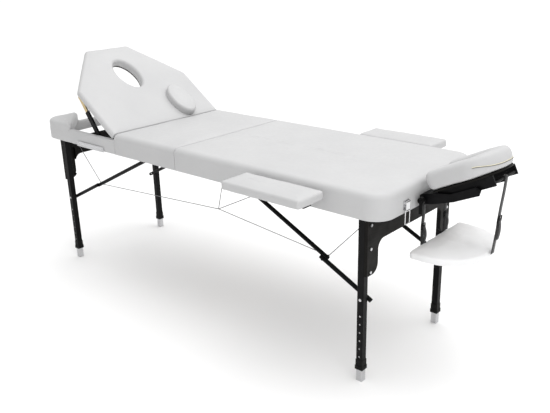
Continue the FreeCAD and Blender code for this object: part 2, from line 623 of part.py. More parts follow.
def cables():
    v = SIZES
    angle = math.radians(v["strut_angle"])
    y = -v["cable_y"]
    knee = Vector(v["strut_head_x"] + v["strut_upper"] * math.cos(angle), y,
                  v["leg_axis"] - v["strut_upper"] * math.sin(angle))
    far_knee = Vector(-knee.x, y, knee.z)
    leg = Vector(v["cable_leg_x"], y, v["cable_leg_z"])
    far_leg = Vector(-leg.x, y, leg.z)
    junction = Vector(v["node_x"], y, v["node_z"])
    tie = Vector(v["tie_x"], y, rail_top.number - 0.5)
    clear = v["cable_clear"]
    near_head = [wire(far_leg, far_knee, 0, clear), wire(far_knee, junction, clear, clear)]
    node("cables_head", both(group(*near_head)))
    near_foot = [wire(leg, knee, 0, clear), wire(knee, junction, clear, clear),
                 wire(tie, junction, 0, clear)]
    ferrule = new("Part::Sphere")
    bind(ferrule, "Radius", s.node_r)
    place(ferrule, s.node_x, -s.cable_y, s.node_z)
    cross = wire(junction, Vector(junction.x, -y, junction.z), clear, clear)
    node("cables_foot", group(both(group(*near_foot, ferrule)), cross))


# ---- backrest --------------------------------------------------------------------------------

def tilted(name, piece):
    """A backrest piece, drawn lying flat with its hinge pin at the origin."""
    held = group(piece)
    turn(held, s.fold_x + s.pivot_x, s.pivot_z, s.tilt, "-X")
    node(name, held, fixed=True)


def back_outline(half, straight, length, tip, low, high, rounds):
    points = [(-s.back_start, -half), (-s.back_start, half), (-straight, half), (-length, tip),
              (-length, -tip), (-straight, -half)]
    return outline(points, low, high, rounds=rounds)


def backrest():
    bends = {2: s.back_round, 5: s.back_round, 3: s.tip_round, 4: s.tip_round}
    slope = (s.back_half - s.back_tip) / (s.back_length - s.back_straight)
    inset = 5
    core_straight = s.back_straight + (s.back_half - inset - s.back_core) / slope
    upper = back_outline(s.back_half, s.back_straight, s.back_length, s.back_tip,
                         s.back_ledge, s.back_top, bends)
    lower = back_outline(s.back_core, core_straight, s.back_length, s.back_tip - inset,
                         -s.back_under, s.back_ledge, bends)
    hole = oval(s.hole_long, s.hole_wide, -s.hole_along, 0, -20, s.back_top + 5)
    tilted("backrest_pad", cut(fuse(upper, lower), hole))
    ply_straight = s.back_straight + (s.back_half - 2 * inset - s.ply_half) / slope
    ply_tip = s.back_half - 2 * inset - (s.ply_length - s.back_straight) * slope
    ply = back_outline(s.ply_half, ply_straight, s.ply_length, ply_tip, -s.ply_low, -s.ply_top,
                       bends)
    wider = oval(s.hole_long + s.hole_free, s.hole_wide + s.hole_free, -s.hole_along, 0, -20, 5)
    tilted("backrest_panel", cut(ply, wider))
    plug_low = s.back_top + s.seam_gap
    tilted("face_plug", oval(s.hole_long - 2, s.hole_wide - 2, -s.plug_u, s.plug_y,
                             plug_low, plug_low + s.plug_tall))
    leaf = block(-s.leaf_wide - 6, -4.6, -s.leaf_half, s.leaf_half, -s.ply_top, -s.back_under)
    tongue = block(-5, 0, -s.knuckle + 0.5, s.knuckle - 0.5, -s.ply_top, -s.back_under)
    barrel = rod(s.barrel_r, "Y", -s.knuckle + 0.5, s.knuckle - 0.5)
    bore = rod(s.pin_r + s.running, "Y", -s.knuckle - 1, s.knuckle + 1)
    tilted("backrest_hinge_leaf", cut(fuse(leaf, tongue, barrel), bore))
    low = s.pivot_z - s.barrel_r
    fixed_leaf = block(s.pivot_x + 4.4, -s.middle_end - 1, -s.leaf_half, s.leaf_half,
                       low, low + s.leaf_thick)
    parts = [fixed_leaf]
    bores = []
    for side in (-1, 1):
        ends = sorted((side * s.knuckle, side * s.leaf_half), key=lambda e: e.number)
        parts.append(rod(s.barrel_r, "Y", *ends, x=s.pivot_x, z=s.pivot_z))
        parts.append(block(s.pivot_x, s.pivot_x + 5, *ends, low, low + s.leaf_thick))
        bores.append(rod(s.pin_r + s.running, "Y", ends[0] - 1, ends[1] + 1,
                         x=s.pivot_x, z=s.pivot_z))
    pin = rod(s.pin_r, "Y", -s.leaf_half, s.leaf_half, x=s.pivot_x, z=s.pivot_z)
    node("backrest_hinge", group(cut(fuse(*parts), *bores), pin))
    edge = s.ply_half
    flange = block(-s.prop_head_u - 12, -s.prop_head_u + 12, -edge - 3.5, -edge + 15,
                   -s.ply_low - 2, -s.ply_low)
    cheek = block(-s.prop_head_u - 12, -s.prop_head_u + 12, -edge - 3.5, -edge - 1,
                  -s.prop_drop - 10, -s.ply_low)
    tilted("prop_heads", both(fuse(flange, cheek)))


def propped(name, piece):
    """A prop piece, drawn along +X with its lower pivot at the origin."""
    held = group(piece)
    turn(held, s.fold_x + s.prop_foot_x, s.prop_foot_z, s.prop_angle, "+X")
    node(name, held, fixed=True)


def props():
    y1 = -s.sleeve_y
    y0 = y1 - s.sleeve_thick
    shell = fuse(block(0, s.sleeve_long, y0, y1, -s.sleeve_half, s.sleeve_half),
                 rod(s.sleeve_half, "Y", y0, y1))
    room = s.prop_bar_half + 0.3
    cavity = block(12, s.sleeve_long + 1, y0 + s.sleeve_wall, y1 - s.sleeve_wall, -room, room)
    eye = rod(s.prop_pin + s.running, "Y", y0 - 1, y1 + 1)
    propped("prop_sleeves", both(cut(shell, cavity, eye)))
    bar_y0 = y0 + s.sleeve_wall + 0.3
    bar_y1 = y1 - s.sleeve_wall - 0.3
    bar = block(s.prop_length - s.prop_bar_long, s.prop_length, bar_y0, bar_y1,
                -s.prop_bar_half, s.prop_bar_half)
    tip = rod(s.prop_bar_half + 2, "Y", bar_y0, bar_y1, x=s.prop_length)
    propped("prop_bars", both(fuse(bar, tip)))
    plate = block(s.prop_foot_x - 12, s.prop_foot_x + 12, -rail_in, -s.sleeve_y - s.sleeve_thick - 1,
                  s.prop_foot_z - 12, s.prop_foot_z + 10)
    pin = rod(s.prop_pin, "Y", -rail_in + 1, -s.sleeve_y, x=s.prop_foot_x, z=s.prop_foot_z)
    node("prop_feet", both(fuse(plate, pin)))


# ---- fittings on the frame -------------------------------------------------------------------

def carry_handles():
    out = -skin - s.seam_gap
    strap = block(s.strap_x, s.strap_x + s.strap_long, out - s.strap_thick, out, s.strap_low,
                  s.strap_low + s.strap_wide)
    middle = s.strap_low + s.strap_wide / 2
    rivets = [rod(s.rivet_r, "Y", out - s.strap_thick - 2, out, x=x, z=middle)
              for x in (s.strap_x + 8, s.strap_x + s.strap_long - 8)]
    handle = fuse(strap, *rivets)
    node("carry_handle_foot", handle)
    node("carry_handle_head", mirror(handle, "X"))


def armrests():
    pad = outline([(s.arm_x, -s.arm_out), (s.arm_x + s.arm_long, -s.arm_out),
                   (s.arm_x + s.arm_long, -s.arm_in), (s.arm_x, -s.arm_in)],
                  s.arm_low, s.arm_low + s.arm_tall, rounds={i: sized(8) for i in range(4)})
    node("armrest_pad_near", pad)
    node("armrest_pad_far", mirror(pad, "Y"))
    pieces = [block(s.arm_rod_a - 20, s.arm_rod_b + 20, -s.arm_out + 30, -s.arm_in - 20,
                    s.arm_low - 5, s.arm_low)]
    for x in (s.arm_rod_a, s.arm_rod_b):
        pieces.append(rod(s.arm_rod, "Y", -s.arm_in - 40, -s.arm_rod_in, x=x, z=s.arm_rod_z))
        pieces.append(block(x - 12, x + 12, -s.arm_in - 44, -s.arm_in - 6, s.arm_rod_z - 10,
                            s.arm_low))
    arm = fuse(*pieces)
    node("armrest_arm_near", arm)
    node("armrest_arm_far", mirror(arm, "Y"))


def latch():
    out = s.foot_length
    y1 = s.latch_y + s.latch_wide
    top = s.latch_low + s.latch_tall
    plate = block(out, out + 2, s.latch_y, y1, s.latch_low, top)
    ears = [block(out + 2, s.latch_pin_x + 4, y, y + 2, s.latch_pin_z - 4, s.latch_pin_z + 4)
            for y in (s.latch_y + 1, y1 - 3)]
    pin = rod(1.8, "Y", s.latch_y + 1, y1 - 1, x=s.latch_pin_x, z=s.latch_pin_z)
    node("latch_plate", fuse(plate, *ears, pin))
    lever_y0 = s.latch_y + 4
    lever_y1 = y1 - 4
    hub = rod(3.8, "Y", lever_y0, lever_y1, x=s.latch_pin_x, z=s.latch_pin_z)
    lower_hub = rod(3.6, "Y", lever_y0, lever_y1, x=s.bail_x, z=s.bail_z)
    flap = block(s.latch_pin_x + 1.4, s.latch_pin_x + 3.6, lever_y0, lever_y1, s.bail_z,
                 s.latch_pin_z)
    bores = [rod(1.8 + s.running, "Y", lever_y0 - 1, lever_y1 + 1, x=s.latch_pin_x,
                 z=s.latch_pin_z),
             rod(s.wire_r + s.running, "Y", lever_y0 - 1, lever_y1 + 1, x=s.bail_x, z=s.bail_z)]
    node("latch_lever", cut(fuse(hub, lower_hub, flap), *bores))
    bail_y0 = s.latch_y + 2
    bail_y1 = y1 - 2
    bars = [rod(s.wire_r, "Y", bail_y0, bail_y1, x=s.bail_x, z=z) for z in (s.bail_z, s.bail_low)]
    sides = [rod(s.wire_r, "Z", s.bail_low, s.bail_z, x=s.bail_x, y=y) for y in (bail_y0, bail_y1)]
    corners = []
    for y in (bail_y0, bail_y1):
        for z in (s.bail_low, s.bail_z):
            ball = new("Part::Sphere")
            bind(ball, "Radius", s.wire_r)
            corners.append(place(ball, s.bail_x, y, z))
    node("latch_loop", fuse(*bars, *sides, *corners))


# ---- face cradle and arm shelf ---------------------------------------------------------------

def raised(name, piece):
    """A cradle piece, drawn level with the platform's front top edge at the origin."""
    held = group(piece)
    turn(held, s.fold_x + s.cradle_x, s.cradle_z, s.cradle_tilt, "+X")
    node(name, held, fixed=True)


def horseshoe(start, length, half, low, high, corner, face_half, face_along):
    points = [(start, -half), (length, -half), (length, half), (start, half),
              (start, face_half), (face_along, face_half), (face_along, -face_half),
              (start, -face_half)]
    return outline(points, low, high, rounds={1: corner, 2: corner, 5: s.face_round,
                                              6: s.face_round, 0: sized(24), 3: sized(24)})


def cradle():
    base = block(s.base_x, s.base_x + s.base_thick, -s.base_half, s.base_half,
                 s.post_z - 17, s.post_z + 17)
    rods = [rod(s.post_r, "X", s.post_x, s.base_x + 4, y=side * s.post_y, z=s.post_z)
            for side in (-1, 1)]
    ears = []
    for side in (-1, 1):
        faces = sorted((side * s.base_half, side * (s.base_half - s.ear_thick)),
                       key=lambda e: e.number)
        ears.append(block(s.base_x + 6, s.clamp_x + 14, *faces, s.clamp_z - 14, s.clamp_z + 14))
    pin = rod(s.clamp_pin, "Y", -s.lever_y - s.lever_wide - 2, s.lever_y, x=s.clamp_x, z=s.clamp_z)
    knob = rod(s.lever_hub, "Y", s.lever_y, s.lever_y + 8, x=s.clamp_x, z=s.clamp_z)
    node("cradle_base", fuse(base, *rods, *ears, pin, knob))
    sides = []
    eyes = []
    drop = s.clamp_out
    for side in (-1, 1):
        lo, hi = sorted((side * s.plate_y, side * (s.plate_y + s.plate_thick)),
                        key=lambda e: e.number)
        plate = outline([(s.clamp_along - 12, drop - 12), (s.clamp_along - 12, drop + 12), (-30, 0),
                         (0, -7), (60, -26), (150, -26), (162, -40), (150, -54), (60, -52),
                         (-20, -40)], lo, hi, plane="XZ")
        lo2, hi2 = sorted((side * s.channel_y, side * (s.channel_y + s.channel_thick)),
                          key=lambda e: e.number)
        channel = block(10, s.channel_long, lo2, hi2, -s.channel_deep, -s.platform_thick - 0.3)
        far = side * (s.plate_y + s.plate_thick + 2)
        ends = sorted((side * s.channel_y, far), key=lambda e: e.number)
        sides += [plate, channel, rod(s.clamp_pin, "Y", *ends, x=148, z=-36)]
        eyes.append(rod(s.clamp_pin + s.running, "Y", lo - 1, hi + 1, x=s.clamp_along,
                        z=s.clamp_out))
    bars = [rod(s.hang_r, "Y", -reach, reach, x=x, z=-s.hang_drop)
            for x, reach in ((40, s.plate_y + s.plate_thick), (s.hang_along, s.channel_y + 2))]
    raised("cradle_arm", cut(fuse(*sides, *bars), *eyes))
    raised("cradle_platform", horseshoe(0, s.platform_long, s.platform_half,
                                        -s.platform_thick, 0, s.platform_round,
                                        s.face_half, s.face_along))
    raised("cradle_cushion", horseshoe(-6, s.cushion_long, s.cushion_half, 0.2, s.cushion_tall,
                                       s.cushion_round, s.face_half - 2, s.face_along - 5))
    hub_y1 = -s.lever_y
    hub = rod(s.lever_hub, "Y", hub_y1 - s.lever_wide, hub_y1, x=s.clamp_x, z=s.clamp_z)
    handle = block(s.clamp_x - 6, s.clamp_x + 6, hub_y1 - s.lever_wide + 3, hub_y1 - 3,
                   s.clamp_z - s.lever_long, s.clamp_z)
    bore = rod(s.clamp_pin + s.running, "Y", hub_y1 - s.lever_wide - 1, hub_y1 + 1,
               x=s.clamp_x, z=s.clamp_z)
    node("cam_lever", cut(fuse(hub, handle), bore))


def arm_shelf():
    end = s.shelf_x + s.shelf_reach
    pad = outline([(s.shelf_x, -s.shelf_half), (end, -s.shelf_half), (end, s.shelf_half),
                   (s.shelf_x, s.shelf_half)], s.shelf_low, s.shelf_low + s.shelf_tall,
                  rounds={0: sized(16), 1: s.shelf_round, 2: s.shelf_round, 3: sized(16)})
    hem = rod(s.hem_r, "Y", -s.hem_half, s.hem_half, x=s.shelf_x - 0.5, z=s.hem_z)
    node("shelf_pad", fuse(pad, hem))
    half = s.web_wide / 2
    web = block(s.web_x, s.web_x + s.web_thick, -s.web_y - half, -s.web_y + half,
                s.web_low, s.web_top)
    buckle = block(s.web_x - 2, s.web_x + s.web_thick + 2, -s.web_y - half - 3,
                   -s.web_y + half + 3, s.buckle_low, s.buckle_low + s.buckle_tall)
    node("shelf_straps", both(fuse(web, buckle)))
    wide = s.outer_wide / 2
    outer_r = s.ring_bore + s.web_thick
    ring = cut(rod(outer_r, "Y", -wide, wide), rod(s.ring_bore, "Y", -wide - 1, wide + 1))
    strap = block(s.ring_bore, outer_r, -wide, wide, -s.outer_long, 0)
    clip = block(s.ring_bore - 2, outer_r + 2, -wide - 3, wide + 3, -s.outer_buckle,
                 -s.outer_buckle + s.buckle_tall)
    leaning = group(fuse(ring, strap, clip))
    turn(leaning, s.fold_x + s.hang_x, s.hang_z, s.outer_lean, "-X")
    node("shelf_outer_strap", leaning, fixed=True)


half_frames()
table_pads()
fold_hinge()
legs_and_struts()
cables()
backrest()
props()
carry_handles()
armrests()
latch()
cradle()
arm_shelf()
doc.recompute()

for feature in doc.Objects:
    if "Invalid" in feature.State or "Error" in feature.State:
        raise RuntimeError(f"{feature.Name} ({feature.Label}) failed: {feature.State}")
os.makedirs("parts", exist_ok=True)
whole_box = FreeCAD.BoundBox()
for name, feature in NODES.items():
    shape = feature.Shape
    if shape.isNull() or not shape.isValid() or not shape.Solids:
        raise RuntimeError(f"{name} is not a valid solid")
    whole_box.add(shape.BoundBox)
    shape.exportStep(f"parts/{name}.step")
print(f"{len(NODES)} nodes, box {whole_box}")
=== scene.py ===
import math

import bmesh
import bpy
from mathutils import Matrix, Vector, noise


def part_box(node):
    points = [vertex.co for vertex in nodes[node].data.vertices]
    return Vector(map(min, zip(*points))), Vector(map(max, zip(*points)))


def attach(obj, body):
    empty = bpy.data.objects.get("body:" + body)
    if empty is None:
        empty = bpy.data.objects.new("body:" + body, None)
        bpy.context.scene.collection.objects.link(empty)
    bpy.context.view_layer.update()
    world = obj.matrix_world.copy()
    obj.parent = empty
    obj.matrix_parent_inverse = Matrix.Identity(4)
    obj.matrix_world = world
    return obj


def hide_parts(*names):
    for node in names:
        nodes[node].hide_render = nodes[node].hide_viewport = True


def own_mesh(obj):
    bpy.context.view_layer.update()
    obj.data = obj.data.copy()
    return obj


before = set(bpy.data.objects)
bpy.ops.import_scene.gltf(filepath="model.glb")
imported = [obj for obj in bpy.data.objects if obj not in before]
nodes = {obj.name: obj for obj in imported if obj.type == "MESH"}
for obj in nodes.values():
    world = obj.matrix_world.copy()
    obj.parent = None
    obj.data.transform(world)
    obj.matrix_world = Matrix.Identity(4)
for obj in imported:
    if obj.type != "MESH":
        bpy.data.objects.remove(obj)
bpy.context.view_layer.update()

# The table lies along X, with its fold at fold_x. Everything here is in metres.
FOLD_GAP = 0.0010            # from the fold to the foot half's rails
fold_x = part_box("foot_side_rails")[0].x - FOLD_GAP
BACK_TILT = math.radians(35.5)
CRADLE_TILT = math.radians(25.7)
OUTER_LEAN = math.radians(5.0)
BACK = Matrix.Translation((fold_x - 0.402, 0, 0.664)) @ Matrix.Rotation(BACK_TILT, 4, "Y")
CRADLE = Matrix.Translation((fold_x + 0.987, 0, 0.672)) @ Matrix.Rotation(-CRADLE_TILT, 4, "Y")
FLAT = Matrix.Identity(4)


# ---- camera ------------------------------------------------------------------------------------

def add_camera():
    yaw = math.radians(131.84)
    pitch = math.radians(-19.946)
    roll = math.radians(-1.474)
    ahead = Vector((math.cos(yaw) * math.cos(pitch), math.sin(yaw) * math.cos(pitch),
                    math.sin(pitch)))
    level = ahead.cross(Vector((0, 0, 1))).normalized()
    above = level.cross(ahead)
    right = level * math.cos(roll) + above * math.sin(roll)
    up = above * math.cos(roll) - level * math.sin(roll)
    data = bpy.data.cameras.new("camera")
    data.sensor_width = 36
    data.lens = 44.94
    camera = bpy.data.objects.new("camera", data)
    turn = Matrix((right, up, -ahead)).transposed().to_4x4()
    place = Matrix.Translation((fold_x + 1.9866, -1.9534, 1.3791))
    camera.matrix_world = place @ turn
    bpy.context.scene.collection.objects.link(camera)
    bpy.context.scene.camera = camera


# ---- materials ---------------------------------------------------------------------------------

class Finish:
    """A Principled material with small helpers for its texture nodes."""

    def __init__(self, name, color, roughness, metallic=0.0, space="Object"):
        self.material = bpy.data.materials.new(name)
        self.material.use_nodes = True
        self.tree = self.material.node_tree
        self.shader = self.tree.nodes["Principled BSDF"]
        self.shader.inputs["Base Color"].default_value = (*color, 1)
        self.shader.inputs["Roughness"].default_value = roughness
        self.shader.inputs["Metallic"].default_value = metallic
        self.where = self.tree.nodes.new("ShaderNodeTexCoord").outputs[space]

    def add(self, kind, **values):
        node = self.tree.nodes.new(kind)
        for name, value in values.items():
            setattr(node, name, value)
        return node

    def link(self, output, target):
        self.tree.links.new(output, target)

    def texture(self, kind, scale, stretch=(1, 1, 1), **inputs):
        mapping = self.add("ShaderNodeMapping")
        mapping.inputs["Scale"].default_value = stretch
        self.link(self.where, mapping.inputs["Vector"])
        node = self.add(kind)
        node.inputs["Scale"].default_value = scale
        for name, value in inputs.items():
            node.inputs[name].default_value = value
        self.link(mapping.outputs["Vector"], node.inputs["Vector"])
        return node

    def noise(self, scale, detail=3.0, stretch=(1, 1, 1)):
        return self.texture("ShaderNodeTexNoise", scale, stretch, Detail=detail).outputs["Fac"]

    def spread(self, value, low, high):
        """Map a 0 to 1 value to the range low to high."""
        node = self.add("ShaderNodeMapRange")
        node.inputs["From Min"].default_value = 0.3
        node.inputs["From Max"].default_value = 0.7
        node.inputs["To Min"].default_value = low
        node.inputs["To Max"].default_value = high
        self.link(value, node.inputs["Value"])
        return node.outputs["Result"]

    def vary_color(self, value, dark, light):
        ramp = self.add("ShaderNodeValToRGB")
        ramp.color_ramp.elements[0].position = 0.3
        ramp.color_ramp.elements[0].color = (*dark, 1)
        ramp.color_ramp.elements[1].position = 0.7
        ramp.color_ramp.elements[1].color = (*light, 1)
        self.link(value, ramp.inputs["Fac"])
        self.link(ramp.outputs["Color"], self.shader.inputs["Base Color"])
        return ramp

    def vary_roughness(self, value, low, high):
        self.link(self.spread(value, low, high), self.shader.inputs["Roughness"])

    def bump(self, height, depth, strength=1.0, after=None):
        """Raise the surface by height; depth is the relief in metres."""
        node = self.add("ShaderNodeBump")
        node.inputs["Strength"].default_value = strength
        node.inputs["Distance"].default_value = depth
        self.link(height, node.inputs["Height"])
        if after is not None:
            self.link(after, node.inputs["Normal"])
        self.link(node.outputs["Normal"], self.shader.inputs["Normal"])
        return node.outputs["Normal"]


def white_vinyl(name="white_vinyl", dark=(0.45, 0.45, 0.454), light=(0.48, 0.48, 0.482)):
    """Soft artificial leather: a fine pebbled grain and faint patches of shade."""
    finish = Finish(name, light, 0.45)
    finish.vary_color(finish.noise(5, 4), dark, light)
    finish.vary_roughness(finish.noise(60, 5), 0.40, 0.52)
    pebbles = finish.texture("ShaderNodeTexVoronoi", 900)
    soft = finish.bump(finish.noise(45, 3), 0.0006, 0.35)
    finish.bump(pebbles.outputs["Distance"], 0.00012, 0.5, after=soft)
    finish.shader.inputs["Specular IOR Level"].default_value = 0.4
    return finish.material


def black_paint():
    """Powder coat with a fine orange peel."""
    finish = Finish("black_paint", (0.003, 0.003, 0.0035), 0.42)
    finish.vary_color(finish.noise(30, 4), (0.002, 0.002, 0.0024), (0.0045, 0.0045, 0.005))
    finish.shader.inputs["Specular IOR Level"].default_value = 0.1
    finish.vary_roughness(finish.noise(80, 3), 0.34, 0.5)
    finish.bump(finish.noise(1400, 2), 0.00008, 0.5)
    return finish.material


def black_board():
    """Stained plywood: long faint grain under a satin coat."""
    finish = Finish("black_board", (0.010, 0.009, 0.007), 0.5)
    grain = finish.noise(14, 6, stretch=(12, 1, 14))
    finish.vary_color(grain, (0.0025, 0.0022, 0.002), (0.007, 0.006, 0.005))
    finish.shader.inputs["Specular IOR Level"].default_value = 0.1
    finish.vary_roughness(finish.noise(25, 4), 0.42, 0.58)
    finish.bump(grain, 0.0002, 0.4)
    return finish.material


def beech():
    finish = Finish("beech", (0.62, 0.43, 0.25), 0.55)
    grain = finish.noise(9, 7, stretch=(1, 14, 14))
    finish.vary_color(grain, (0.50, 0.33, 0.18), (0.68, 0.49, 0.30))
    finish.bump(grain, 0.0002, 0.3)
    return finish.material


def metal(name, color, roughness, scratch=(1, 1, 30)):
    finish = Finish(name, color, roughness, metallic=1.0)
    lines = finish.noise(60, 4, stretch=scratch)
    dark = tuple(channel * 0.85 for channel in color)
    finish.vary_color(lines, dark, color)
    finish.vary_roughness(lines, roughness * 0.8, roughness * 1.3)
    finish.bump(lines, 0.00005, 0.3)
    return finish.material


def black_plastic():
    finish = Finish("black_plastic", (0.004, 0.004, 0.004), 0.5)
    finish.shader.inputs["Specular IOR Level"].default_value = 0.12
    finish.vary_roughness(finish.noise(50, 3), 0.42, 0.6)
    finish.bump(finish.noise(900, 2), 0.0001, 0.5)
    return finish.material


def webbing(name, dark, light):
    """Woven tape: two crossing sets of ribs."""
    finish = Finish(name, light, 0.85)
    first = finish.texture("ShaderNodeTexWave", 260, (1, 1, 1))
    first.bands_direction = "Z"
    second = finish.texture("ShaderNodeTexWave", 200, (1, 1, 0))
    second.bands_direction = "DIAGONAL"
    mix = finish.add("ShaderNodeMath", operation="MULTIPLY")
    finish.link(first.outputs["Fac"], mix.inputs[0])
    finish.link(second.outputs["Fac"], mix.inputs[1])
    finish.vary_color(mix.outputs["Value"], dark, light)
    finish.bump(mix.outputs["Value"], 0.0004, 0.7)
    finish.shader.inputs["Sheen Weight"].default_value = 0.2
    return finish.material


# ---- meshes ------------------------------------------------------------------------------------

def piece(name, verts, faces, material, matrix=FLAT):
    """A new object from vertices in a local frame, its normals made to point outwards."""
    mesh = bpy.data.meshes.new(name)
    mesh.from_pydata([matrix @ Vector(v) for v in verts], [], faces)
    build = bmesh.new()
    build.from_mesh(mesh)
    bmesh.ops.remove_doubles(build, verts=build.verts, dist=1e-6)
    bmesh.ops.recalc_face_normals(build, faces=build.faces)
    build.to_mesh(mesh)
    build.free()
    mesh.polygons.foreach_set("use_smooth", [True] * len(mesh.polygons))
    mesh.materials.append(material)
    obj = bpy.data.objects.new(name, mesh)
    bpy.context.scene.collection.objects.link(obj)
    return obj


def lofted(rings, loop=False):
    """Vertices and faces of a skin over rings of points that all have the same count.

    Both ends are closed with a fan, unless the rings run in a loop."""
    count = len(rings[0])
    verts = [point for ring in rings for point in ring]
    faces = []
    last = len(rings) if loop else len(rings) - 1
    for row in range(last):
        here = row * count
        there = ((row + 1) % len(rings)) * count
        for i in range(count):
            j = (i + 1) % count
            faces.append((here + i, here + j, there + j, there + i))
    if loop:
        return verts, faces
    for row in (0, len(rings) - 1):
        centre = sum((Vector(p) for p in rings[row]), Vector()) / count
        verts.append(tuple(centre))
        for i in range(count):
            faces.append((row * count + i, row * count + (i + 1) % count, len(verts) - 1))
    return verts, faces


def ring_outline(corners, radii, inset, weights=None, step=0.012, arc=10):
    """A convex outline moved inwards by inset, as points in counter-clockwise order.

    weights scales the inset of each edge; edge i runs from corner i to corner i + 1."""
    count = len(corners)
    weights = weights or [1.0] * count
    lines = []
    for i in range(count):
        a = Vector(corners[i])
        b = Vector(corners[(i + 1) % count])
        along = (b - a).normalized()
        inward = Vector((-along.y, along.x))
        lines.append((a + inward * inset * weights[i], along))
    moved = []
    for i in range(count):
        p, u = lines[i - 1]
        q, v = lines[i]
        cross = u.x * v.y - u.y * v.x
        t = ((q - p).x * v.y - (q - p).y * v.x) / cross
        moved.append(p + u * t)
    points = []
    starts = []
    ends = []
    for i in range(count):
        u = lines[i - 1][1]
        v = lines[i][1]
        half = math.acos(max(-1.0, min(1.0, u.dot(v)))) / 2
        radius = max(radii[i] - inset, 0.0015)
        reach = radius * math.tan(half)
        starts.append(moved[i] - u * reach)
        ends.append(moved[i] + v * reach)
        centre = starts[-1] + Vector((-u.y, u.x)) * radius
        first = math.atan2(*(starts[-1] - centre).yx)
        for k in range(arc + 1):
            angle = first + 2 * half * k / arc
            points.append((i, centre + radius * Vector((math.cos(angle), math.sin(angle)))))
    result = []
    for i in range(count):
        result += [point for corner, point in points if corner == i]
        a = ends[i]
        b = starts[(i + 1) % count]
        length = (Vector(corners[(i + 1) % count]) - Vector(corners[i])).length
        pieces = max(2, int(length / step))
        result += [a.lerp(b, k / pieces) for k in range(1, pieces)]
    return result


def crown(distance, rise, width):
    """Height gained by a soft top at a distance in from its edge."""
    t = min(1.0, max(0.0, distance / width))
    return rise * (1 - (1 - t) ** 2)


def rounded_rows(edge, low, high, bottom_round, top_round, steps=6):
    """Rows (inset, z) up a side wall with both edges rounded."""
    rows = []
    for k in range(steps + 1):
        angle = math.pi / 2 * k / steps
        rows.append((edge + bottom_round * (1 - math.sin(angle)),
                     low + bottom_round * (1 - math.cos(angle))))
    middle = high - top_round - low - bottom_round
    rows += [(edge, low + bottom_round + middle * k / 4) for k in range(1, 4)]
    for k in range(steps + 1):
        angle = math.pi / 2 * k / steps
        rows.append((edge + top_round * (1 - math.cos(angle)),
                     high - top_round + top_round * math.sin(angle)))
    return rows


def ruffled(obj, amount, scale, seed=0.0, where=None):
    """Move each vertex a little along its normal, as vinyl pulled over foam does."""
    mesh = obj.data
    normals = [v.normal.copy() for v in mesh.vertices]
    for vertex, normal in zip(mesh.vertices, normals):
        spot = vertex.co * scale + Vector((seed, seed, seed))
        push = noise.noise(spot) + 0.5 * noise.noise(spot * 2.3)
        factor = 1.0 if where is None else where(vertex.co)
        vertex.co += normal * push * amount * factor
    mesh.update()
    return obj


def tube(path, radius, sides=8):
    """Vertices and faces of a round bar along a path."""
    points = [Vector(p) for p in path]
    rings = []
    count = len(points)
    for i, point in enumerate(points):
        before = points[i - 1] if i else point
        after = points[i + 1] if i < count - 1 else point
        along = (after - before).normalized()
        side = along.cross(Vector((0.31, 0.17, 0.93)))
        if side.length < 0.1:
            side = along.cross(Vector((0.9, 0.3, 0.1)))
        side.normalize()
        other = along.cross(side)
        rings.append([point + radius * (side * math.cos(a) + other * math.sin(a))
                      for a in (2 * math.pi * k / sides for k in range(sides))])
    return lofted(rings)


def merged(*meshes):
    """One list of vertices and faces from several."""
    verts = []
    faces = []
    for more_verts, more_faces in meshes:
        offset = len(verts)
        verts += [tuple(v) for v in more_verts]
        faces += [tuple(i + offset for i in face) for face in more_faces]
    return verts, faces


def finished(obj, body, slot, *replaced, fill=None):
    """Attach a finished piece to its body and hide the CAD nodes it stands for."""
    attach(obj, body)
    if replaced:
        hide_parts(*replaced)
    return obj


# ---- padded pieces -----------------------------------------------------------------------------

def table_pad(name, node, radii, weights, body, top_round=0.024):
    """A foam-topped section with its vinyl wrapped down over the rail."""
    low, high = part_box(node)
    corners = [(low.x, low.y), (high.x, low.y), (high.x, high.y), (low.x, high.y)]
    wall = 0.0042
    # The cover stops at the board, and its hinge side is open so that the folded legs can pass.
    under = high.z - 0.0395
    rows = [(wall, under, 0), (wall, low.z + 0.0012, 0), (wall * 0.7, low.z + 0.0002, 0)]
    hinge_skirt = 0.046
    hinge_low = high.z - hinge_skirt if node == "middle_pad" else low.z
    rows += [(inset, z, 0) for inset, z in rounded_rows(0, low.z, high.z, 0.0015, top_round)]
    half = (high.y - low.y) / 2
    for k in range(1, 22):
        inset = top_round + (half - top_round - 0.004) * (k / 21) ** 1.5
        rows.append((inset, high.z, crown(inset - top_round, 0.004, 0.13)))
    rings = []
    for inset, z, rise in rows:
        ring = ring_outline(corners, radii, inset, weights)
        open_side = [p.x < low.x + 0.003 and abs(p.y) < high.y - 0.006 for p in ring]
        rings.append([(p.x, p.y, max(z, hinge_low) + rise if is_open else z + rise)
                      for p, is_open in zip(ring, open_side)])
    pad = piece(name, *lofted(rings), VINYL)
    ruffled(pad, 0.0010, 9, seed=low.x, where=lambda p: 1.0 if p.z > low.z + 0.004 else 0.2)
    return finished(pad, body, "vinyl", node, fill=0.85)


def table_pads():
    foot = [0.003, 0.070, 0.070, 0.003]
    table_pad("foot_cover", "foot_pad", foot, [1, 1, 1, 0.30], "foot_half")
    table_pad("middle_cover", "middle_pad", [0.003] * 4, [1, 0.30, 1, 0.30], "head_half")


def rounded_section(left, right, low, high, bottom_round, top_round, steps=4):
    """A rounded rectangle of (across, up) points."""
    section = []
    middles = [(right - bottom_round, low + bottom_round, bottom_round),
               (right - top_round, high - top_round, top_round),
               (left + top_round, high - top_round, top_round),
               (left + bottom_round, low + bottom_round, bottom_round)]
    for k, (a, up, radius) in enumerate(middles):
        for j in range(steps + 1):
            angle = math.pi / 2 * (k - 1 + j / steps)
            section.append((a + radius * math.cos(angle), up + radius * math.sin(angle)))
    return section


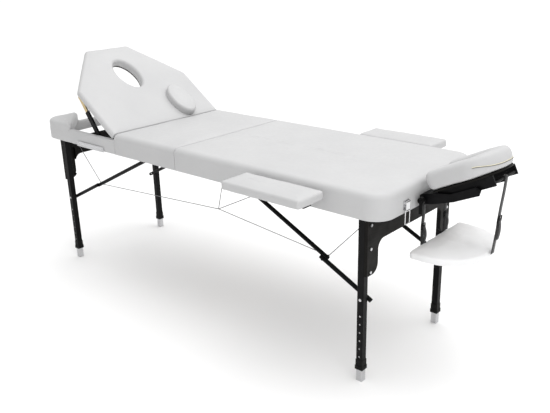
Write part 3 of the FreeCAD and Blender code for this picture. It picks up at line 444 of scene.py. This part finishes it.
def surround():
    """Wrapped rails round the backrest, with a full-height pad in each corner."""
    low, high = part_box("surround_pad")
    end = low.x
    side = high.y
    start = high.x
    corner = 0.070
    strip = 0.030
    middle = side - strip / 2
    steps = 40
    bend = end + corner
    path = [(start + (bend - start) * k / steps, -middle) for k in range(steps + 1)]
    turn = corner - strip / 2
    for k in range(1, 13):
        angle = math.pi / 2 * k / 12
        path.append((bend - turn * math.sin(angle), -side + corner - turn * math.cos(angle)))
    path += [(end + strip / 2, (-side + corner) * (1 - k / 20)) for k in range(1, 21)]
    path += [(x, -y) for x, y in reversed(path[:-1])]
    side_top = 0.672
    end_top = 0.657
    rings = []
    points = [Vector(p) for p in path]
    last = len(points) - 1
    for i, point in enumerate(points):
        along = (points[min(i + 1, last)] - points[max(i - 1, 0)]).normalized()
        across = Vector((-along.y, along.x))
        away = min(1.0, max(0.0, (abs(point.y) - 0.12) / 0.10))
        top = end_top + (side_top - end_top) * away
        section = rounded_section(-strip / 2 + 0.0003, strip / 2 - 0.0004, low.z + 0.0003,
                                  top, 0.002, 0.0105)
        rings.append([(point.x + across.x * -a, point.y + across.y * -a, up)
                      for a, up in section])
    wrap = piece("surround_cover", *lofted(rings), VINYL)
    ruffled(wrap, 0.0010, 22, seed=3.0)
    finished(wrap, "head_half", "vinyl", "surround_pad", fill=0.8)
    inner = 0.1214
    slope = 0.798
    reach = (side - inner) / slope
    for sign in (-1, 1):
        triangle = [(end + 0.001, -inner), (end + 0.001, -side), (end + reach, -side)]
        triangle = [(x, y * -sign) for x, y in triangle]
        if sign > 0:
            triangle.reverse()
        radii = [0.016, corner, 0.016]
        rows = rounded_rows(0.0005, 0.6565, high.z, 0.004, 0.016)
        rows += [(0.016 + 0.008 * k, high.z + crown(0.008 * k, 0.003, 0.04)) for k in range(1, 5)]
        rings = [[(p.x, p.y, z) for p in ring_outline(triangle, radii, inset)]
                 for inset, z in rows]
        pad = piece(f"corner_cushion_{'far' if sign < 0 else 'near'}", *lofted(rings), VINYL)
        ruffled(pad, 0.0008, 25, seed=sign)
        finished(pad, "head_half", "vinyl", fill=0.85)


def back_corners(half, start, straight, length, tip):
    """The backrest's outline, counter-clockwise, with its hinge edge at x = -start."""
    return [(-length, -tip), (-straight, -half), (-start, -half), (-start, half),
            (-straight, half), (-length, tip)]


def backrest_cushion():
    corners = back_corners(0.305, 0.007, 0.285, 0.523, 0.115)
    radii = [0.020, 0.026, 0.006, 0.006, 0.026, 0.020]
    weights = [1, 1, 0.35, 1, 1, 1]
    hole = Vector((-0.340, 0))
    hole_long = 0.092
    hole_wide = 0.056
    top = 0.036
    low = -0.002
    ledge = 0.0095
    under = 0.031
    rows = []
    for inset, z in ((under, low), (under - 0.002, low + 0.0015), (under - 0.003, ledge)):
        rows.append((0, inset, 0, z))
    for inset, z in rounded_rows(0.0, ledge, top, 0.006, 0.016):
        rows.append((0, inset, 0, z))
    for k in range(1, 12):
        t = k / 12
        rows.append((t, 0.018, 0.016, top + crown(t, 0.005, 0.4) * (1 - t ** 4)))
    for k in range(7):
        angle = math.pi / 2 * k / 6
        rows.append((1, 0, 0.014 * (1 - math.sin(angle)), top - 0.014 * (1 - math.cos(angle))))
    rows.append((1, 0, 0.0, 0.012))
    rows.append((1, 0, 0.0, 0.0))
    rows.append((1, 0, 0.001, low))
    for k in range(5, 0, -1):
        rows.append((k / 6, under, 0.002, low))
    rings = []
    for t, inset, outset, z in rows:
        ring = []
        for p in ring_outline(corners, radii, inset, weights):
            out = p - hole
            angle = math.atan2(out.y / hole_wide, out.x / hole_long)
            inner = hole + Vector(((hole_long + outset) * math.cos(angle),
                                   (hole_wide + outset) * math.sin(angle)))
            q = p.lerp(inner, t)
            ring.append((q.x, q.y, z))
        rings.append(ring)
    pad = piece("backrest_cover", *lofted(rings, loop=True), VINYL, BACK)
    ruffled(pad, 0.0010, 9, seed=7.0)
    finished(pad, "backrest", "vinyl", "backrest_pad", fill=0.8)


def plug():
    """The oval plug: flat sides, a rolled seam and a soft top."""
    centre = Vector((-0.103, 0.135))
    half_long = 0.090
    half_wide = 0.054
    low = 0.0366
    top = 0.0724
    rows = [(0.03, low + 0.002), (0.012, low + 0.0005)]
    rows += rounded_rows(0.0, low, top, 0.006, 0.012)
    rows += [(0.012 + 0.038 * (k / 6), top + crown(k / 6, 0.006, 1.0)) for k in range(1, 7)]
    rings = []
    for inset, z in rows:
        ring = []
        for k in range(96):
            angle = 2 * math.pi * k / 96
            ring.append((centre.x + (half_long - inset) * math.cos(angle),
                         centre.y + (half_wide - inset) * math.sin(angle), z))
        rings.append(ring)
    pad = piece("plug_cushion", *lofted(rings), VINYL, BACK)
    ruffled(pad, 0.0007, 30, seed=2.0)
    finished(pad, "plug", "vinyl", "face_plug", fill=0.8)


def horseshoe_path(start, arm, reach, count_arm=16, count_turn=36):
    """A U from the near arm's end round the far end and back."""
    turn = reach - arm
    path = [Vector((start + (turn - start) * k / count_arm, -arm)) for k in range(count_arm)]
    for k in range(count_turn + 1):
        angle = -math.pi / 2 + math.pi * k / count_turn
        path.append(Vector((turn + arm * math.cos(angle), arm * math.sin(angle))))
    path += [Vector((p.x, -p.y)) for p in reversed(path[:count_arm])]
    return path


def roll_waist(up):
    """How much narrower the cradle roll is at a height above or below its middle."""
    return 1 - 0.06 * min(1.0, max(0.0, -up) / 0.012)


def cradle_cushion():
    """A fat horseshoe roll, flat where it sits on its board."""
    path = horseshoe_path(-0.004, 0.073, 0.2005)
    last = len(path) - 1
    half = 0.0365
    height = 0.062
    rings = []
    for i, point in enumerate(path):
        along = (path[min(i + 1, last)] - path[max(i - 1, 0)]).normalized()
        across = Vector((-along.y, along.x))
        near_end = min(i, last - i)
        scale = (0.55, 0.86, 0.97)[near_end] if near_end < 3 else 1.0
        ring = []
        for k in range(32):
            angle = 2 * math.pi * k / 32
            c = math.cos(angle)
            s = math.sin(angle)
            up = height / 2 * math.copysign(abs(s) ** (0.75 if s > 0 else 0.35), s)
            a = half * math.copysign(abs(c) ** 0.55, c) * roll_waist(up)
            rise = height / 2 + up * scale
            ring.append((point.x + across.x * a * scale, point.y + across.y * a * scale,
                         0.0006 + rise))
        rings.append(ring)
    pad = piece("cradle_ring", *lofted(rings), VINYL, CRADLE)
    ruffled(pad, 0.0012, 20, seed=5.0)
    finished(pad, "cradle", "vinyl", "cradle_cushion", fill=0.9)
    cradle_tape(path, half, height)


def cradle_tape(path, half, height):
    """A cream strip over a dark seam, round the closed end of the roll."""
    band = []
    seam = []
    start = 0.150
    reach = max(point.x for point in path)
    for point, normal in horseshoe_side(path, start):
        t = (point.x - start) / (reach - start)
        level = 0.034 - 0.017 * t * t * (3 - 2 * t)
        wall = half * roll_waist(level - height / 2)
        for lift, out in ((0.0, -0.001), (0.0006, 0.0014), (0.0024, 0.0014), (0.0030, -0.001)):
            spot = point + normal * (wall + out)
            band.append((spot.x, spot.y, level + lift))
        spot = point + normal * (wall + 0.0014)
        seam.append((spot.x, spot.y, level - 0.0008))
    faces = []
    for row in range(len(seam) - 1):
        for k in range(3):
            a = row * 4 + k
            faces.append((a, a + 1, a + 5, a + 4))
    tape = piece("cradle_tape", band, faces, CREAM, CRADLE)
    finished(tape, "cradle", "vinyl")
    line = piece("cradle_seam", *tube(seam, 0.0007, sides=6), DARK, CRADLE)
    finished(line, "cradle", "webbing_black")


def horseshoe_side(path, start):
    """Points and outward normals of the path beyond start, round its closed end."""
    last = len(path) - 1
    for i, point in enumerate(path):
        if point.x >= start:
            along = (path[min(i + 1, last)] - path[max(i - 1, 0)]).normalized()
            yield point, Vector((along.y, -along.x))


def shelf():
    """The arm shelf: straight at its hinge, round outside, thin at its rim and soft on top."""
    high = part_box("shelf_pad")[1]
    back = fold_x + 0.9575
    half = high.y
    floor = high.z - 0.022
    corners = [(back, -half), (high.x, -half), (high.x, half), (back, half)]
    radii = [0.016, 0.140, 0.140, 0.016]
    rows = [(0.012, floor + 0.0005), (0.006, floor)]
    rows += rounded_rows(0.0, floor, high.z, 0.005, 0.009)
    rings = [[(p.x, p.y, z) for p in ring_outline(corners, radii, inset)] for inset, z in rows]
    middle = Vector(((back + high.x) / 2, 0, high.z))
    rim = [Vector(p) for p in rings[-1]]
    for k in range(1, 15):
        t = k / 15
        rise = Vector((0, 0, crown(t, 0.005, 0.6)))
        rings.append([tuple(p.lerp(middle, t) + rise) for p in rim])
    # The shelf takes the lighter copy of the white vinyl: painted light.
    pad = piece("shelf_cushion", *lofted(rings), SHELF_VINYL_PAINTED_LIGHT)

    def dimple(p):
        away = math.hypot((p.x - back - 0.07) / 0.07, p.y / 0.10)
        return 1.0 + 1.5 * math.exp(-away * away) if p.z > high.z - 0.004 else 0.4

    ruffled(pad, 0.0016, 24, seed=9.0, where=dimple)
    finished(pad, "shelf", "vinyl", "shelf_pad", fill=0.6)


def armrest(side, body):
    low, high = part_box(f"armrest_pad_{side}")
    corners = [(low.x, low.y), (high.x, low.y), (high.x, high.y), (low.x, high.y)]
    rows = [(0.03, low.z + 0.0004)]
    rows += rounded_rows(0.0, low.z, high.z, 0.005, 0.010)
    half = (high.y - low.y) / 2
    rows += [(0.010 + (half - 0.013) * (k / 12), high.z + crown(k / 12, 0.004, 0.7))
             for k in range(1, 13)]
    rings = [[(p.x, p.y, z) for p in ring_outline(corners, [0.010] * 4, inset)]
             for inset, z in rows]
    pad = piece(f"armrest_cushion_{side}", *lofted(rings), VINYL)
    ruffled(pad, 0.0009, 20, seed=high.y * 9)
    finished(pad, body, "vinyl", f"armrest_pad_{side}", fill=0.8)


# ---- straps and handles ------------------------------------------------------------------------

def ribbon(path, width, thick, axis):
    """A flat tape along a path; axis is the direction of its width."""
    wide = Vector(axis).normalized() * width / 2
    points = [Vector(p) for p in path]
    last = len(points) - 1
    rings = []
    for i, point in enumerate(points):
        along = (points[min(i + 1, last)] - points[max(i - 1, 0)]).normalized()
        up = along.cross(wide.normalized()) * thick / 2
        rings.append([point - wide - up * 0.4, point - wide * 0.96 - up, point + wide * 0.96 - up,
                      point + wide - up * 0.4, point + wide + up * 0.4,
                      point + wide * 0.96 + up, point - wide * 0.96 + up, point - wide + up * 0.4])
    return lofted(rings)


def ladder_buckle(centre, half_wide, half_tall, out):
    """A ladder-lock buckle: a frame with two bars across it."""
    x, y, z = centre
    frame_path = []
    for sy, sz in ((-1, -1), (1, -1), (1, 1), (-1, 1)):
        frame_path.append((x + out, y + sy * half_wide, z + sz * half_tall))
    rims = [tube([frame_path[i], frame_path[(i + 1) % 4]], 0.0018) for i in range(4)]
    bars = [tube([(x + out * 1.6, y - half_wide, z + dz), (x + out * 1.6, y + half_wide, z + dz)],
                 0.0015) for dz in (-0.003, 0.003)]
    return merged(*rims, *bars)


def carry_handle(half, body):
    low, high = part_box(f"carry_handle_{half}")
    middle_z = (low.z + high.z) / 2 - 0.0005
    wall = high.y
    steps = 24
    path = []
    for k in range(steps + 1):
        t = k / steps
        bow = 0.0016 * math.sin(math.pi * t) ** 0.5
        path.append((low.x + (high.x - low.x) * t, wall - 0.0022 - bow, middle_z))
    strap = ribbon(path, 0.022, 0.0020, (0, 0, 1))
    patches = []
    rivets = []
    for x in (low.x + 0.008, high.x - 0.008):
        patch = [(x - 0.007, wall - 0.0045, middle_z), (x + 0.007, wall - 0.0045, middle_z)]
        patches.append(ribbon(patch, 0.020, 0.0014, (0, 0, 1)))
        dome = []
        for radius, out in ((0.004, 0.0), (0.0038, 0.0012), (0.0026, 0.0021), (0.0008, 0.0025)):
            dome.append([(x + radius * math.cos(a), wall - 0.0050 - out,
                          middle_z + radius * math.sin(a))
                         for a in (2 * math.pi * k / 16 for k in range(16))])
        rivets.append(lofted(dome))
    tape = piece(f"handle_tape_{half}", *merged(strap, *patches), GREY_WEB)
    finished(tape, body, "webbing_grey", f"carry_handle_{half}")
    studs = piece(f"handle_rivets_{half}", *merged(*rivets), STEEL)
    finished(studs, body, "steel_bright")


def shelf_hangers():
    """Two inner straps from the clamp block to the shelf, each with a buckle and a loose tail."""
    low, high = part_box("shelf_straps")
    buckle_z = low.z + 0.067
    for sign in (-1, 1):
        y = sign * 0.075
        x = fold_x + 0.952
        path = []
        for k in range(25):
            t = k / 24
            z = high.z + (low.z - high.z) * t
            path.append((x + 0.0006 * math.sin(9 * t), y + 0.0015 * math.sin(7 * t), z))
        web = ribbon(path, 0.020, 0.0016, (0, 1, 0))
        tail = []
        for k in range(13):
            t = k / 12
            tail.append((x + 0.0035 + 0.006 * math.sin(2.6 * t), y + 0.004 * math.sin(3 * t),
                         buckle_z - 0.058 * t))
        loose = ribbon(tail, 0.018, 0.0014, (0, 1, 0.15))
        tape = piece(f"hanger_{'far' if sign > 0 else 'near'}", *merged(web, loose), BLACK_WEB)
        if sign < 0:
            finished(tape, "cradle_foot", "webbing_black", "shelf_straps")
        else:
            finished(tape, "cradle_foot", "webbing_black")
        clip = piece(f"hanger_buckle_{'far' if sign > 0 else 'near'}",
                     *ladder_buckle((x, y, buckle_z), 0.0125, 0.008, 0.002), PLASTIC)
        finished(clip, "cradle_foot", "plastic_black")


def outer_hanger():
    """The strap that holds up the shelf's outer edge, looped over the cradle's cross bar."""
    bar = CRADLE @ Vector((0.200, 0, -0.030))
    lean = Matrix.Translation(bar) @ Matrix.Rotation(OUTER_LEAN, 4, "Y")
    radius = 0.0064
    strap_length = 0.259
    path = []
    for k in range(21):
        angle = math.pi * 1.15 * (1 - k / 20)
        path.append((radius * math.cos(angle), 0, radius * math.sin(angle)))
    count = 26
    for k in range(1, count + 1):
        t = k / count
        path.append((radius + 0.0006 * math.sin(11 * t), 0, -strap_length * t))
    web = ribbon(path, 0.022, 0.0016, (0, 1, 0))
    buckle_z = -0.138
    tail = [(radius + 0.0028 + 0.005 * math.sin(2.4 * k / 12), 0.003 * math.sin(3 * k / 12),
             buckle_z - 0.070 * k / 12) for k in range(13)]
    loose = ribbon(tail, 0.020, 0.0014, (0, 1, -0.1))
    tape = piece("outer_hanger", *merged(web, loose), BLACK_WEB, lean)
    finished(tape, "outer_strap", "webbing_black", "shelf_outer_strap")
    clip = piece("outer_hanger_buckle", *ladder_buckle((radius, 0, buckle_z), 0.0145, 0.009, 0.002),
                 PLASTIC, lean)
    finished(clip, "outer_strap", "plastic_black")


def cables():
    """The taut steel cables, as (x from the fold, z) points."""
    cable_radius = 0.0015
    side = 0.205
    leg = (0.855, 0.600)
    knee = (0.6651, 0.3992)
    junction = (0.122, 0.451)
    tie = (0.176, 0.6535)
    fold = (0.0, 0.443)
    head = [((-leg[0], leg[1]), (-knee[0], knee[1])), ((-knee[0], knee[1]), fold)]
    foot = [(leg, knee), (knee, junction), (tie, junction), (junction, fold)]
    for half, lines in (("head", head), ("foot", foot)):
        wires = []
        for y in (-side, side):
            for start, end in lines:
                ends = [(fold_x + x, y, z) for x, z in (start, end)]
                wires.append(tube(ends, cable_radius))
        if half == "foot":
            ends = [(fold_x + junction[0], y, junction[1]) for y in (-side, side)]
            wires.append(tube(ends, cable_radius))
        wire = piece(f"cable_{half}", *merged(*wires), CABLE)
        finished(wire, f"{half}_half", "steel_bright", f"cables_{half}")
        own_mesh(wire)


# ---- the CAD nodes that stay -------------------------------------------------------------------

def paint_nodes():
    looks = {
        BEECH: ("head_side_rails", "head_cross_rails", "foot_side_rails", "foot_cross_rails"),
        BOARD: ("head_panel", "foot_panel", "backrest_panel", "cradle_platform", "apron_head",
                "apron_foot"),
        PAINT: ("hinge_rail", "leg_tubes_head", "leg_tubes_foot", "upper_struts_head",
                "upper_struts_foot", "lower_struts_head", "lower_struts_foot", "prop_sleeves",
                "prop_feet", "prop_heads", "cradle_arm", "cradle_base", "armrest_arm_near",
                "armrest_arm_far"),
        STEEL: ("backrest_hinge", "backrest_hinge_leaf", "fold_links", "fold_pins",
                "leg_hardware_head", "leg_hardware_foot", "lock_button_head_near",
                "lock_button_head_far", "lock_button_foot_near", "lock_button_foot_far"),
        ZINC: ("prop_bars",),
        SILVER: ("inner_leg_head_near", "inner_leg_head_far", "inner_leg_foot_near",
                 "inner_leg_foot_far"),
        CHROME: ("latch_plate", "latch_lever", "latch_loop"),
        PLASTIC: ("collars_head", "collars_foot", "cam_lever"),
    }
    for material, names in looks.items():
        for name in names:
            for slot in nodes[name].material_slots:
                slot.material = material


# ---- studio ------------------------------------------------------------------------------------

def studio():
    finish = Finish("studio_floor", (0.95, 0.95, 0.95), 0.9)
    finish.vary_color(finish.noise(2, 2), (0.945, 0.945, 0.945), (0.96, 0.96, 0.96))
    size = 40.0
    depth = -0.0005
    corners = [(-size, -size, depth), (size, -size, depth), (size, size, depth),
               (-size, size, depth)]
    floor = piece("studio_floor", corners, [(0, 1, 2, 3)], finish.material)
    world = bpy.data.worlds.new("studio_world")
    world.use_nodes = True
    tree = world.node_tree
    direction = tree.nodes.new("ShaderNodeTexCoord").outputs["Generated"]
    brightness = tree.nodes.new("ShaderNodeVectorMath")
    brightness.operation = "DOT_PRODUCT"
    brightness.inputs[1].default_value = (0.15, 0.25, 0.60)
    tree.links.new(direction, brightness.inputs[0])
    lift = tree.nodes.new("ShaderNodeMath")
    lift.operation = "ADD"
    lift.use_clamp = False
    lift.inputs[1].default_value = 0.72
    tree.links.new(brightness.outputs["Value"], lift.inputs[0])
    tree.links.new(lift.outputs["Value"], tree.nodes["Background"].inputs["Strength"])
    tree.nodes["Background"].inputs["Color"].default_value = (1, 1, 1, 1)
    bpy.context.scene.world = world
    lamps = (("top_light", (0.2, 0.4, 3.2), (0.1, 0, 0.6), 2.6, 34),
             ("side_light", (2.4, -1.6, 1.9), (0.2, 0, 0.6), 1.8, 17))
    for name, place, target, size, power in lamps:
        data = bpy.data.lights.new(name, "AREA")
        data.size = size
        data.energy = power
        lamp = bpy.data.objects.new(name, data)
        lamp.location = place
        aim = Vector(target) - Vector(place)
        lamp.rotation_euler = aim.to_track_quat("-Z", "Y").to_euler()
        bpy.context.scene.collection.objects.link(lamp)
    bpy.context.scene.view_settings.view_transform = "Standard"


VINYL = white_vinyl()
# Painted light: the shelf has the same white vinyl as the other pads, but this copy gets a much
# lighter colour so that the shelf shows brighter than the lamps alone make it.
SHELF_VINYL_PAINTED_LIGHT = white_vinyl("shelf_vinyl_painted_light", (0.73, 0.73, 0.735), (0.79, 0.79, 0.792))
CREAM = white_vinyl("cream_tape", (0.62, 0.58, 0.42), (0.74, 0.70, 0.54))
PAINT = black_paint()
BOARD = black_board()
BEECH = beech()
STEEL = metal("zinc_steel", (0.62, 0.62, 0.63), 0.32)
CABLE = metal("steel_cable", (0.26, 0.26, 0.27), 0.5, (200, 1, 1))
ZINC = metal("yellow_zinc", (0.60, 0.47, 0.26), 0.30, (30, 1, 30))
SILVER = metal("silver_leg", (0.66, 0.66, 0.67), 0.34)
CHROME = metal("chrome", (0.70, 0.70, 0.71), 0.12)
PLASTIC = black_plastic()
BLACK_WEB = webbing("black_webbing", (0.003, 0.003, 0.0035), (0.010, 0.010, 0.011))
GREY_WEB = webbing("grey_webbing", (0.52, 0.52, 0.53), (0.74, 0.74, 0.75))
DARK = webbing("dark_thread", (0.05, 0.045, 0.04), (0.11, 0.10, 0.09))

add_camera()
table_pads()
surround()
backrest_cushion()
plug()
cradle_cushion()
shelf()
armrest("near", "armrest_near")
armrest("far", "armrest_far")
carry_handle("head", "head_half")
carry_handle("foot", "foot_half")
shelf_hangers()
outer_hanger()
cables()
paint_nodes()
studio()
